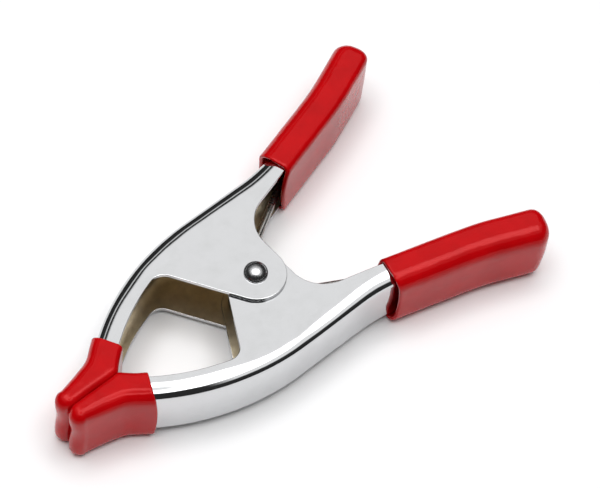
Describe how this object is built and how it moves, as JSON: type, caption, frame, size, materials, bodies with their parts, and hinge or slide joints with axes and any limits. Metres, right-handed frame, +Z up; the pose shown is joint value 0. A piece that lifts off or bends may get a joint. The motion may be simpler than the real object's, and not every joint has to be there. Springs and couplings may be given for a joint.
{
  "type": "spring clamp",
  "caption": "Hand spring clamp with two stamped steel levers on a rivet, a torsion spring inside, soft red handle sleeves and jaw caps.",
  "frame": {"origin": "middle of the clamp's underside as it lies on its side", "axes": "+X from the jaws to the handles, +Z up along the rivet, +Y towards the outer lever"},
  "size_m": [0.1654, 0.1002, 0.0261],
  "materials": {
    "plated_sheet": "bright nickel-chrome plated steel sheet",
    "plated_rivet": "bright plated steel rivet",
    "spring_wire": "drawn spring-steel wire",
    "red_vinyl": "glossy soft PVC"
  },
  "bodies": {
    "outer_lever": {"outer_lever": "plated_sheet", "pivot_rivet": "plated_rivet", "torsion_spring": "spring_wire", "outer_lever_grip": "red_vinyl", "outer_lever_tip": "red_vinyl"},
    "inner_lever": {"inner_lever": "plated_sheet", "inner_lever_grip": "red_vinyl", "inner_lever_tip": "red_vinyl"}
  },
  "joints": [
    {"name": "jaw_pivot", "type": "hinge", "parent": "outer_lever", "child": "inner_lever", "pos_m": [-0.00424, 0, 0.0124], "axis": [0, 0, 1], "range_deg": [0, 48], "stiffness_Nm_per_rad": 1.5, "springref_deg": -45.84, "deforming": ["torsion_spring"]}
  ]
}
